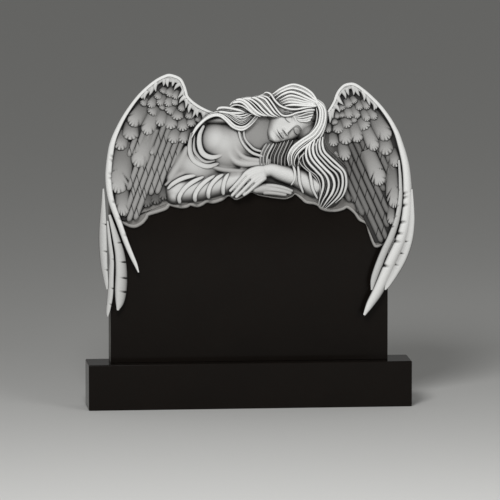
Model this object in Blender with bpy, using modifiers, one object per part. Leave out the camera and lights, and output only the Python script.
# Headstone with a carved angel: one slab of dark granite, carved along its top, on a base block.
# Metres, +Z up. The origin is on the floor under the middle of the base, and the front faces -Y.

import math

import bmesh
import bpy
from mathutils import Matrix, Vector

# Base block
BASE_WIDTH = 1.200
BASE_DEPTH = 0.170
BASE_HEIGHT = 0.170
BASE_ARRIS = 0.004

# Slab, which stands on the base with a hair joint
BED_JOINT = 0.0003
SLAB_WIDTH = 1.030
SLAB_THICKNESS = 0.090
SLAB_SETBACK = 0.025

# Outline of the slab behind the carving: share of its half-width, and height above its foot
SLAB_PROFILE = [(1.0, 0.0), (1.0, 0.590), (0.85, 0.730), (0.58, 0.760), (0.0, 0.730)]

# Carving: its breadth over both wings, and how far each form stands before the slab's polished face
RELIEF_WIDTH = 1.177
PLATE_DEPTH = 0.010
FIELD_DEPTH = 0.020
FEATHER_DEPTH = 0.033
RECESSED_FEATHER_DEPTH = 0.022
FEATHER_THICKNESS = 0.010
FEATHER_HIDDEN = 0.35
RIM_DEPTH = 0.040
BLADE_DEPTH = 0.030
BLADE_KEEL = 0.030
CHEST_DEPTH = 0.030
SHOULDER_DEPTH = 0.048
ARM_DEPTH = 0.049
HAND_DEPTH = 0.054
FOLD_RISE = 0.006
HEAD_DEPTH = 0.047
HAIR_DEPTH = 0.053
LONG_HAIR_DEPTH = 0.046
CHIN_HAIR_DEPTH = 0.034

# Working grid of the carving: squares counted across from the middle and up from the slab's foot
SQUARES_ACROSS = 316
UNIT = RELIEF_WIDTH / SQUARES_ACROSS
SLAB_BACK = BASE_DEPTH / 2 - SLAB_SETBACK
SLAB_FRONT = SLAB_BACK - SLAB_THICKNESS
SLAB_FOOT = BASE_HEIGHT + BED_JOINT
CUT_ALLOWANCE = 0.010

# Meshing of the carving
VOXEL = 0.0040
CARVING_TRIANGLES = 8600

POLISHED = (0.012, 0.010, 0.008, 1.0)
CARVED = (0.42, 0.42, 0.42, 1.0)

# Wing outlines: the leading edge from the body round the top and down into the longest primary
RIM_LEFT = [(-34, 245), (-48, 250), (-57, 257), (-62, 264), (-65, 273), (-70, 281), (-78, 284), (-86, 281),
            (-103, 267), (-118, 249), (-130, 230), (-138, 208), (-140, 186), (-137, 163), (-128, 139),
            (-118, 110), (-110, 92)]
RIM_LEFT_WIDTHS = [3.0, 3.4, 3.6, 3.6, 3.6, 3.6, 3.8, 3.8, 4.0, 4.6, 5.6, 6.6, 6.4, 5.6, 5.0, 4.4, 2.4]
RIM_RIGHT = [(80, 247), (85, 253), (89, 261), (93, 268), (98, 273), (105, 274), (113, 268), (123, 257),
             (138, 236), (149, 217), (158, 190), (160, 160), (152, 119), (143, 100), (131, 72), (116, 47)]
RIM_RIGHT_WIDTHS = [3.0, 3.4, 3.6, 3.6, 3.6, 3.8, 4.0, 4.2, 5.0, 6.0, 7.0, 8.0, 9.0, 9.4, 9.0, 4.0]

# Primaries that hang past the slab: path, widths and how far they stand back
BLADES = [
    ([(-143, 176), (-145, 150), (-145, 120), (-144, 99), (-142, 83), (-141, 74)],
     [1.6, 5.0, 8.0, 7.0, 4.4, 2.0], -0.006),
    ([(-140, 142), (-138, 123), (-137, 104), (-137, 87), (-139, 66), (-141, 48)],
     [2.0, 4.2, 5.4, 5.8, 5.6, 3.0], -0.004),
    ([(-137, 150), (-132, 128), (-129, 110), (-127, 91), (-128, 74), (-131, 56)],
     [2.6, 7.0, 10.5, 12.5, 12.5, 6.0], 0.0),
    ([(150, 200), (152, 178), (150, 150), (144, 124), (135, 104), (127, 86), (123, 72)],
     [3.0, 4.6, 5.6, 6.2, 6.4, 6.0, 3.0], 0.0),
    ([(163, 168), (163, 148), (162, 132), (157, 110), (148, 92), (138, 72)],
     [3.0, 5.4, 6.4, 7.4, 7.0, 3.0], -0.010),
]

# Stone left behind the primaries where they run past the slab
WEBS = [
    [(-142, 172), (-147, 140), (-146, 104), (-141, 80), (-132, 80), (-128, 135), (-136, 165)],
    [(152, 196), (162, 170), (162, 140), (152, 108), (138, 80), (128, 82), (138, 112), (146, 140), (150, 165)],
]
WEB_DEPTH = 0.012

# Fields of the wings, between the leading edge and the body
FIELD_LEFT = [(-40, 247), (-56, 256), (-66, 275), (-78, 281), (-100, 268), (-117, 248), (-131, 228),
              (-138, 205), (-139, 184), (-134, 160), (-126, 142), (-117, 142), (-107, 146), (-98, 162),
              (-84, 160), (-60, 170), (-40, 210)]
FIELD_RIGHT = [(80, 245), (90, 262), (99, 271), (107, 271), (122, 255), (137, 234), (149, 213), (155, 190),
               (155, 165), (149, 140), (139, 119), (127, 117), (117, 138), (108, 156), (80, 170), (70, 220)]

# Feather rows: first tip, last tip, how many, width, length, lean from straight down in degrees
ROWS_LEFT = [
    ((-86, 268), (-80, 266), 2, 8.0, 7.0, -35), ((-92, 262), (-74, 262), 3, 8.5, 8.0, -28),
    ((-106, 256), (-75, 256), 5, 8.5, 10.0, -35), ((-98, 247), (-81, 248), 2, 11.5, 9.0, -40),
    ((-71, 242), (-51, 239), 3, 10.0, 8.0, -10), ((-116, 236), (-103, 229), 2, 12.0, 20.0, -25),
    ((-89, 235), (-57, 233), 4, 11.5, 12.0, -5), ((-129, 212), (-118, 222), 2, 14.5, 15.0, -10),
    ((-76, 218), (-66, 218), 2, 12.0, 13.0, -18), ((-112, 195), (-112, 195), 1, 16.5, 37.0, -25),
    ((-132, 169), (-132, 169), 1, 16.5, 44.0, -5), ((-125, 147), (-125, 147), 1, 11.5, 24.0, 5),
]
ROWS_RIGHT = [
    ((102, 252), (107, 256), 2, 8.0, 7.0, 30), ((112, 249), (120, 250), 2, 8.0, 8.5, 28),
    ((94, 248), (94, 248), 1, 8.5, 7.0, 20), ((102, 241), (128, 239), 4, 8.5, 12.0, 30),
    ((87, 237), (94, 241), 2, 6.5, 6.0, 12), ((101, 232), (119, 230), 2, 11.5, 10.0, 32),
    ((79, 227), (90, 226), 2, 10.5, 9.0, 0), ((98, 215), (110, 217), 2, 12.5, 16.0, 12),
    ((126, 209), (138, 204), 2, 12.5, 20.0, 13), ((138, 219), (138, 219), 1, 11.0, 24.0, 30),
    ((85, 213), (85, 213), 1, 11.0, 11.0, 5), ((88, 199), (98, 199), 2, 11.0, 14.0, 18),
    ((147, 192), (147, 192), 1, 9.5, 15.0, 15), ((131, 174), (131, 174), 1, 15.0, 37.0, 20),
    ((146, 151), (146, 151), 1, 13.0, 40.0, 5), ((143, 135), (143, 135), 1, 8.0, 16.0, 0),
]
RECESSED_ROWS = [((-103, 155), (-85, 162), 3, 12.0, 13.0, -10), ((107, 158), (114, 146), 2, 9.0, 12.0, 15)]

# Tufts that hang from the leading edge: their places on each stretch of it, widths, length and lean
TUFT_PLACES = (0.2, 0.7)
TUFT_WIDTHS = [4.6, 3.4, 1.2]
TUFT_LENGTH = 8.5
TUFT_LEAN = 14
TUFT_SINK = 0.002

# Long slats under the feathers: each runs down through its middle height, cut into tiers
SLAT_MIDDLE = 175
SLAT_WIDTH = 6.6
SLAT_TIERS = [215, 193, 174, 154, 134]
SLAT_LEAST = 6
SLAT_OVERLAP = 3
SLAT_RISES = [0.002, 0.006, 0.010]
SLATS_LEFT = [(-122, 192, 172), (-116, 194, 162), (-110, 198, 147), (-104, 206, 143), (-98, 214, 148),
              (-92, 217, 168), (-86, 212, 178)]
SLATS_LEFT_SLOPE = 0.50
SLATS_RIGHT = [(96, 200, 145), (102, 202, 119), (108, 203, 117), (114, 200, 121), (120, 196, 135), (126, 170, 150)]
SLATS_RIGHT_SLOPE = -0.42

# Lower edge of the plate that frames the carving on the polished face, left to right
PLATE_EDGE = [(-128, 139), (-119, 134), (-114, 132), (-107, 135), (-101, 143), (-91, 147), (-79, 154),
              (-68, 152), (-57, 154), (-43, 158), (-30, 161), (-21, 166), (-15, 161), (-9, 163), (2, 169),
              (17, 164), (31, 162), (43, 165), (51, 162), (57, 157), (64, 156), (76, 149), (92, 149),
              (97, 152), (105, 148), (110, 141), (117, 137), (120, 128), (124, 117), (127, 114), (136, 117)]

# Masses of the figure: centre, half-widths across and up, turn in degrees, frontmost depth
MASSES = [
    ((-10, 212), (44, 40), 0, CHEST_DEPTH), ((-34, 222), (14, 18), 15, SHOULDER_DEPTH),
    ((-52, 196), (22, 18), -20, CHEST_DEPTH), ((30, 205), (40, 28), 0, CHEST_DEPTH - 0.006),
    ((-68, 172), (14, 13), 0, ARM_DEPTH), ((42, 248), (31, 27), 10, HEAD_DEPTH),
    ((-2, 249), (28, 12), 18, HEAD_DEPTH - 0.006), ((70, 200), (26, 38), 0, LONG_HAIR_DEPTH - 0.012),
    ((36, 226), (24, 17), 34, HEAD_DEPTH + 0.003), ((78, 175), (18, 28), 0, LONG_HAIR_DEPTH - 0.010),
    ((19, 184), (17, 10), 0, HAND_DEPTH - 0.004),
]

# Face, in the middle of the head: nose, brow, chin, cheek, and lips
FACE = [
    ((38, 222), (9, 3.6), 34, HEAD_DEPTH + 0.009), ((46, 236), (5, 12), 34, HEAD_DEPTH + 0.003),
    ((19, 221), (5, 6), 34, HEAD_DEPTH + 0.002), ((33, 232), (12, 8), 34, HEAD_DEPTH + 0.004),
    ((26, 221), (2.4, 5), 34, HEAD_DEPTH + 0.005), ((40, 232), (3, 5), 34, HEAD_DEPTH + 0.006),
]

# Limbs: path, widths, frontmost depth
LIMBS = [
    ([(-78, 168), (-64, 173), (-51, 175), (-31, 179), (-13, 181)], [20, 27, 27, 24, 20], ARM_DEPTH),
    ([(4, 183), (12, 189), (24, 192), (40, 186), (58, 178), (72, 168)], [8, 12, 13, 15, 22, 24], HAND_DEPTH),
    ([(4, 172), (20, 171), (34, 169), (45, 168)], [8, 13, 10, 4], HAND_DEPTH - 0.014),
]
FINGERS = [
    ([(0, 187), (-11, 178), (-19, 169)], [4.6, 4.0, 3.0]), ([(2, 184), (-8, 174), (-17, 165)], [4.6, 4.0, 3.0]),
    ([(5, 181), (-4, 171), (-13, 164)], [4.6, 4.0, 3.0]), ([(8, 178), (2, 171), (-5, 166)], [4.6, 4.0, 3.0]),
]
LOWER_FINGERS = [
    ([(20, 175), (30, 174), (43, 170)], [4.4, 4.0, 2.6]), ([(19, 171), (29, 169), (42, 167)], [4.4, 4.0, 2.6]),
]

# Raised bands of the dress: hems of the sleeve, folds of the lower sleeve, neckline, cuffs, and folds
BANDS = [
    ([(-46, 230), (-49, 222), (-49, 213), (-44, 206), (-36, 204), (-28, 206)], 4.4, SHOULDER_DEPTH),
    ([(-58, 222), (-58, 211), (-55, 202), (-47, 197), (-39, 196), (-33, 199)], 4.4, SHOULDER_DEPTH - 0.008),
    ([(-84, 174), (-78, 180), (-69, 185), (-56, 188)], 3.6, ARM_DEPTH),
    ([(-69, 160), (-71, 166), (-67, 174), (-58, 182), (-43, 188)], 3.8, ARM_DEPTH + FOLD_RISE),
    ([(-54, 162), (-55, 167), (-51, 176), (-45, 183), (-36, 187)], 3.8, ARM_DEPTH + FOLD_RISE),
    ([(-40, 164), (-41, 170), (-39, 177), (-34, 184), (-28, 187)], 3.8, ARM_DEPTH + FOLD_RISE),
    ([(-26, 168), (-26, 174), (-25, 181), (-22, 188)], 3.8, ARM_DEPTH + FOLD_RISE),
    ([(-9, 230), (-7, 221), (-2, 214), (5, 208), (13, 205)], 2.8, CHEST_DEPTH + FOLD_RISE),
    ([(-5, 229), (-3, 222), (2, 216), (7, 212), (13, 210)], 2.6, CHEST_DEPTH + FOLD_RISE),
    ([(-18, 217), (-16, 206), (-9, 199), (0, 196)], 4.0, CHEST_DEPTH + FOLD_RISE / 2),
    ([(-12, 221), (-9, 212), (-1, 203), (8, 200)], 4.0, CHEST_DEPTH + FOLD_RISE / 2),
    ([(45, 194), (46, 184), (43, 176)], 2.8, HAND_DEPTH + FOLD_RISE / 2),
    ([(50, 192), (51, 182), (54, 170)], 2.8, HAND_DEPTH + FOLD_RISE / 2),
    ([(62, 187), (63, 176), (67, 164)], 2.8, HAND_DEPTH + FOLD_RISE / 2),
]

# Hair: two edge strands of each lock family, how many strands they bound, strand width, depth
HAIR = [
    ([(69, 257), (61, 268), (47, 274), (35, 272), (25, 266), (18, 260)],
     [(68, 252), (59, 253), (46, 257), (35, 258), (28, 257), (22, 256)], 5, 4.0, HAIR_DEPTH),
    ([(19, 266), (28, 260), (33, 254), (40, 252), (50, 251), (67, 252)],
     [(12, 263), (20, 257), (28, 249), (36, 245), (50, 248), (66, 251)], 2, 3.4, HAIR_DEPTH + 0.002),
    ([(65, 248), (57, 247), (50, 247), (43, 246)],
     [(64, 242), (60, 238), (54, 238), (47, 241)], 3, 3.4, HAIR_DEPTH),
    ([(35, 243), (26, 247), (17, 255), (9, 260), (0, 262)],
     [(15, 244), (5, 247), (-2, 253), (-10, 255), (-18, 255)], 3, 3.6, HAIR_DEPTH),
    ([(3, 249), (-6, 253), (-17, 254), (-28, 253), (-31, 249)],
     [(3, 246), (-2, 243), (-9, 242), (-15, 244), (-22, 247)], 3, 3.6, HAIR_DEPTH - 0.004),
    ([(-52, 228), (-48, 236), (-39, 243), (-31, 246), (-24, 244), (-17, 238), (-11, 233), (-4, 233), (7, 244)],
     [(-52, 226), (-44, 233), (-37, 239), (-29, 241), (-23, 238), (-15, 232), (-7, 230), (1, 233), (11, 243)],
     3, 2.8, HAIR_DEPTH + 0.001),
    ([(69, 257), (75, 251), (77, 241), (73, 232), (66, 222), (60, 214), (53, 205), (50, 198), (49, 193)],
     [(69, 254), (73, 247), (71, 239), (63, 229), (54, 222), (46, 217), (40, 209), (40, 201), (42, 193)],
     4, 3.4, HAIR_DEPTH),
    ([(16, 216), (13, 208), (13, 199)], [(41, 216), (37, 207), (36, 195)], 6, 3.6, CHIN_HAIR_DEPTH),
    ([(63, 216), (57, 207), (57, 197), (64, 188), (72, 179), (74, 171), (72, 163), (72, 155)],
     [(70, 232), (73, 219), (79, 205), (90, 192), (96, 183), (98, 174), (96, 165), (86, 152)],
     7, 3.8, LONG_HAIR_DEPTH),
]

# Top of the figure's outline, from the left wing to the right one
FIGURE_TOP = [(-34, 246), (-31, 253), (-17, 256), (-9, 262), (8, 264), (19, 269), (35, 276), (48, 277),
              (61, 271), (70, 259), (76, 249), (79, 240)]

# Thick stone behind the carving: it follows the rims and the figure, set in by this many squares
STOCK_INSET = 0.65
STOCK_SIDE_INSET = 0.2
STOCK_HAIR_INSET = 2.65
STOCK_CORNER = (152, 125)
RIM_LEFT_ON_STOCK = 15
RIM_RIGHT_ON_STOCK = 12


def grid(across, up, front=0.0):
    """A point of the carving: its square, and its depth before the slab's face."""
    return Vector((across * UNIT, SLAB_FRONT - front, SLAB_FOOT + up * UNIT))


def clear_scene():
    for obj in list(bpy.data.objects):
        bpy.data.objects.remove(obj, do_unlink=True)


def collection(name, hidden=False):
    made = bpy.data.collections.new(name)
    bpy.context.scene.collection.children.link(made)
    made.hide_render = hidden
    return made


def material(name, color, roughness):
    made = bpy.data.materials.new(name)
    made.use_nodes = True
    shader = made.node_tree.nodes["Principled BSDF"]
    shader.inputs["Base Color"].default_value = color
    shader.inputs["Roughness"].default_value = roughness
    shader.inputs["Metallic"].default_value = 0.0
    return made


def add_object(name, mesh, home, finish=None):
    made = bpy.data.objects.new(name, mesh)
    home.objects.link(made)
    if finish:
        mesh.materials.append(finish)
    return made


def box_mesh(name, low, high):
    low, high = Vector(low), Vector(high)
    bm = bmesh.new()
    bmesh.ops.create_cube(bm, size=1.0)
    bmesh.ops.scale(bm, vec=high - low, verts=bm.verts)
    bmesh.ops.translate(bm, vec=(low + high) / 2, verts=bm.verts)
    mesh = bpy.data.meshes.new(name)
    bm.to_mesh(mesh)
    bm.free()
    return mesh


def curve_mesh(curve, placed=None):
    """The closed mesh of a curve, with its caps welded."""
    holder = bpy.data.objects.new(curve.name, curve)
    if placed:
        holder.matrix_world = placed
    bpy.context.scene.collection.objects.link(holder)
    graph = bpy.context.evaluated_depsgraph_get()
    mesh = bpy.data.meshes.new_from_object(holder.evaluated_get(graph))
    mesh.transform(holder.matrix_world)
    bpy.data.objects.remove(holder, do_unlink=True)
    bm = bmesh.new()
    bm.from_mesh(mesh)
    bmesh.ops.remove_doubles(bm, verts=bm.verts, dist=1e-5)
    bm.to_mesh(mesh)
    bm.free()
    return mesh


def plate_mesh(name, outline, front, back):
    """A flat outline of grid squares made solid from its front depth to a depth behind the face."""
    curve = bpy.data.curves.new(name, "CURVE")
    curve.dimensions = "2D"
    curve.fill_mode = "BOTH"
    curve.extrude = (front + back) / 2
    spline = curve.splines.new("POLY")
    spline.use_cyclic_u = True
    spline.points.add(len(outline) - 1)
    for point, (across, up) in zip(spline.points, outline):
        point.co = (across * UNIT, up * UNIT, 0.0, 1.0)
    upright = Matrix.Rotation(math.pi / 2, 4, "X")
    upright.translation = grid(0, 0, (front - back) / 2)
    return curve_mesh(curve, upright)


def interpolated(values, count):
    """A list of values stretched to another count."""
    if isinstance(values, (int, float)):
        return [values] * count
    stretched = []
    for i in range(count):
        place = i * (len(values) - 1) / (count - 1)
        first = min(int(place), len(values) - 2)
        share = place - first
        stretched.append(values[first] * (1 - share) + values[first + 1] * share)
    return stretched


class Strokes:
    """Round-backed strokes of the carving, gathered as the splines of one bevelled curve."""

    def __init__(self, name):
        self.curve = bpy.data.curves.new(name, "CURVE")
        self.curve.dimensions = "3D"
        self.curve.bevel_depth = UNIT
        self.curve.bevel_resolution = 2
        self.curve.resolution_u = 3
        self.curve.use_fill_caps = True

    def add(self, path, widths, depth):
        """One stroke whose crest stands at this depth: a number, or one for each point."""
        radii = [width / 2 for width in interpolated(widths, len(path))]
        depths = interpolated(depth, len(path))
        spline = self.curve.splines.new("BEZIER")
        spline.bezier_points.add(len(path) - 1)
        for point, (across, up), radius, crest in zip(spline.bezier_points, path, radii, depths):
            point.co = grid(across, up, crest - radius * UNIT)
            point.radius = radius
            point.handle_left_type = point.handle_right_type = "AUTO"


def between(first, last, share):
    return tuple(a + (b - a) * share for a, b in zip(first, last))


def unit_ball():
    bm = bmesh.new()
    bmesh.ops.create_uvsphere(bm, u_segments=28, v_segments=16, radius=1.0)
    mesh = bpy.data.meshes.new("unit ball")
    bm.to_mesh(mesh)
    bm.free()
    return mesh


def add_ball(bm, ball, matrix):
    """The unit ball, stretched and placed by this matrix."""
    placed = ball.copy()
    placed.transform(matrix)
    bm.from_mesh(placed)
    bpy.data.meshes.remove(placed)


def add_mass(bm, ball, centre, halves, turn, depth):
    """An egg shape: its centre and half-widths in squares, turned in the face's plane."""
    turned = Matrix.Rotation(math.radians(-turn), 4, "Y")
    sized = Matrix.Diagonal((halves[0] * UNIT, depth, halves[1] * UNIT, 1.0))
    add_ball(bm, ball, Matrix.Translation(grid(*centre)) @ turned @ sized)


def add_feather(bm, ball, tip, width, length, lean, depth):
    """A leaf whose root is sunk in the wing and whose tip stands at this depth."""
    run = length * (1 + FEATHER_HIDDEN) * UNIT
    rise = depth - FEATHER_THICKNESS / 2
    tilt = math.atan2(depth - FIELD_DEPTH, run / 2)
    pose = Matrix.Rotation(math.radians(-lean), 4, "Y") @ Matrix.Rotation(-tilt, 4, "X")
    placed = Matrix.Translation(grid(tip[0], tip[1], rise)) @ pose @ Matrix.Translation((0, 0, run / 2))
    add_ball(bm, ball, placed @ Matrix.Diagonal((width / 2 * UNIT, FEATHER_THICKNESS, run / 2, 1.0)))


def add_feather_rows(bm, ball, rows, depth):
    for first, last, count, width, length, lean in rows:
        for i in range(count):
            tip = between(first, last, i / max(count - 1, 1))
            add_feather(bm, ball, tip, width, length, lean, depth)


def add_slats(strokes, slats, slope):
    """Strips down the wing, stepped at each tier like the barbs of long feathers."""
    for middle, top, bottom in slats:
        tiers = [tier for tier in SLAT_TIERS if bottom + SLAT_LEAST < tier < top - SLAT_LEAST]
        stops = [top, *tiers, bottom]
        for upper, lower in zip(stops, stops[1:]):
            heights = (upper + SLAT_OVERLAP, (upper + lower) / 2, lower)
            path = [(middle + slope * (up - SLAT_MIDDLE), up) for up in heights]
            strokes.add(path, SLAT_WIDTH, [FIELD_DEPTH + rise for rise in SLAT_RISES])


def add_fringe(strokes, rim, first, last, lean):
    """Short tufts that hang from the leading edge over the smallest feathers."""
    run = (TUFT_LENGTH * math.sin(math.radians(lean)), -TUFT_LENGTH * math.cos(math.radians(lean)))
    for i in range(first, last):
        for share in TUFT_PLACES:
            root = between(rim[i], rim[i + 1], share)
            end = (root[0] + run[0], root[1] + run[1])
            depths = [RIM_DEPTH - TUFT_SINK, RIM_DEPTH - 2 * TUFT_SINK, FIELD_DEPTH]
            strokes.add([root, between(root, end, 0.4), end], TUFT_WIDTHS, depths)


def add_wings(bm, ball, strokes):
    strokes.add(RIM_LEFT, RIM_LEFT_WIDTHS, RIM_DEPTH)
    strokes.add(RIM_RIGHT, RIM_RIGHT_WIDTHS, RIM_DEPTH)
    for path, widths, back in BLADES:
        strokes.add(path, widths, BLADE_DEPTH + back)
        strokes.add(path, widths, BLADE_DEPTH + back - BLADE_KEEL / 2)
    add_feather_rows(bm, ball, RECESSED_ROWS, RECESSED_FEATHER_DEPTH)
    add_feather_rows(bm, ball, ROWS_LEFT + ROWS_RIGHT, FEATHER_DEPTH)
    add_slats(strokes, SLATS_LEFT, SLATS_LEFT_SLOPE)
    add_slats(strokes, SLATS_RIGHT, SLATS_RIGHT_SLOPE)
    add_fringe(strokes, RIM_LEFT, 1, 9, -TUFT_LEAN)
    add_fringe(strokes, RIM_RIGHT, 0, 8, TUFT_LEAN)


def add_figure(bm, ball, strokes):
    for centre, halves, turn, depth in MASSES + FACE:
        add_mass(bm, ball, centre, halves, turn, depth)
    for path, widths, depth in LIMBS:
        strokes.add(path, widths, depth)
    for path, widths in FINGERS:
        strokes.add(path, widths, HAND_DEPTH)
    for path, widths in LOWER_FINGERS:
        strokes.add(path, widths, HAND_DEPTH - 0.012)
    for path, width, depth in BANDS:
        strokes.add(path, width, depth)
    for first, last, count, width, depth in HAIR:
        for i in range(count):
            path = [between(a, b, i / (count - 1)) for a, b in zip(first, last)]
            strokes.add(path, [width * 0.8, width, width, width * 0.8], depth)


def stock_outline():
    """The thick stone behind the carving: inside the wings and the figure, down to the plate's lower edge."""
    rim_left = reversed(RIM_LEFT[:RIM_LEFT_ON_STOCK])
    left = [(across + STOCK_SIDE_INSET, up - STOCK_INSET) for across, up in rim_left]
    right = [(across - STOCK_SIDE_INSET, up - STOCK_INSET) for across, up in RIM_RIGHT[:RIM_RIGHT_ON_STOCK]]
    top = [(across, up - STOCK_HAIR_INSET) for across, up in FIGURE_TOP]
    return left + top + right + [STOCK_CORNER] + PLATE_EDGE[::-1]


def keep_outer_skin(mesh):
    """Leaves the largest connected surface, so that nothing is loose and nothing is sealed inside."""
    bm = bmesh.new()
    bm.from_mesh(mesh)
    unseen = set(bm.verts)
    skins = []
    while unseen:
        stack = [unseen.pop()]
        skin = set(stack)
        while stack:
            for edge in stack.pop().link_edges:
                for vert in edge.verts:
                    if vert in unseen:
                        unseen.discard(vert)
                        skin.add(vert)
                        stack.append(vert)
        skins.append(skin)
    largest = max(skins, key=len)
    bmesh.ops.delete(bm, geom=[vert for vert in bm.verts if vert not in largest], context="VERTS")
    bm.to_mesh(mesh)
    bm.free()


def evaluated_mesh(obj):
    graph = bpy.context.evaluated_depsgraph_get()
    return bpy.data.meshes.new_from_object(obj.evaluated_get(graph))


def carving_mesh(helpers):
    """The wings and the figure fused into one skin with the stone behind them."""
    bm = bmesh.new()
    strokes = Strokes("carved strokes")
    ball = unit_ball()
    add_wings(bm, ball, strokes)
    add_figure(bm, ball, strokes)
    back = SLAB_THICKNESS + CUT_ALLOWANCE
    plates = [
        plate_mesh("stock", stock_outline(), PLATE_DEPTH, back),
        plate_mesh("left field", FIELD_LEFT, FIELD_DEPTH, back / 2),
        plate_mesh("right field", FIELD_RIGHT, FIELD_DEPTH, back / 2),
        *[plate_mesh("web", outline, WEB_DEPTH, BLADE_KEEL) for outline in WEBS],
    ]
    for piece in [curve_mesh(strokes.curve), *plates]:
        bm.from_mesh(piece)
    mesh = bpy.data.meshes.new("carving")
    bm.to_mesh(mesh)
    bm.free()
    carving = add_object("carving", mesh, helpers)
    remesh = carving.modifiers.new("Fuse", "REMESH")
    remesh.mode = "VOXEL"
    remesh.voxel_size = VOXEL
    fused = evaluated_mesh(carving)
    carving.modifiers.remove(remesh)
    carving.data = fused
    triangles = 2 * len(fused.polygons)
    decimate = carving.modifiers.new("Thin out", "DECIMATE")
    decimate.ratio = CARVING_TRIANGLES / triangles
    decimate.use_collapse_triangulate = True
    thinned = evaluated_mesh(carving)
    keep_outer_skin(thinned)
    carving.modifiers.remove(decimate)
    carving.data = thinned
    return carving


def slab_outline():
    half = [(share * SLAB_WIDTH / 2 / UNIT, height / UNIT) for share, height in SLAB_PROFILE]
    return half + [(-across, up) for across, up in reversed(half[:-1])]


def add_boolean(obj, other, operation):
    cut = obj.modifiers.new(operation.title(), "BOOLEAN")
    cut.operation = operation
    cut.object = other
    cut.solver = "EXACT"


def build_headstone(home, helpers):
    back = SLAB_THICKNESS + CUT_ALLOWANCE
    slab = plate_mesh("slab", slab_outline(), 0.0, back)
    headstone = add_object("headstone", slab, home, material("polished granite", POLISHED, 0.12))
    carving = carving_mesh(helpers)
    carving.data.materials.append(material("carved granite", CARVED, 0.7))
    reach = 2 * RELIEF_WIDTH
    behind = box_mesh("behind", (-reach, SLAB_BACK, -reach), (reach, reach, reach))
    cutter = add_object("back plane", behind, helpers)
    add_boolean(headstone, carving, "UNION")
    add_boolean(headstone, cutter, "DIFFERENCE")
    headstone.data = evaluated_mesh(headstone)
    headstone.modifiers.clear()
    keep_outer_skin(headstone.data)
    for helper in (carving, cutter):
        helper.hide_render = True
        helper.display_type = "WIRE"
    return headstone


def build_base(home):
    mesh = box_mesh("base", (-BASE_WIDTH / 2, -BASE_DEPTH / 2, 0.0), (BASE_WIDTH / 2, BASE_DEPTH / 2, BASE_HEIGHT))
    base = add_object("base", mesh, home, material("polished base granite", POLISHED, 0.12))
    arris = base.modifiers.new("Arris", "BEVEL")
    arris.width = BASE_ARRIS
    arris.segments = 2
    return base


clear_scene()
parts = collection("Angel headstone")
guides = collection("Carving helpers", hidden=True)
build_base(parts)
build_headstone(parts, guides)
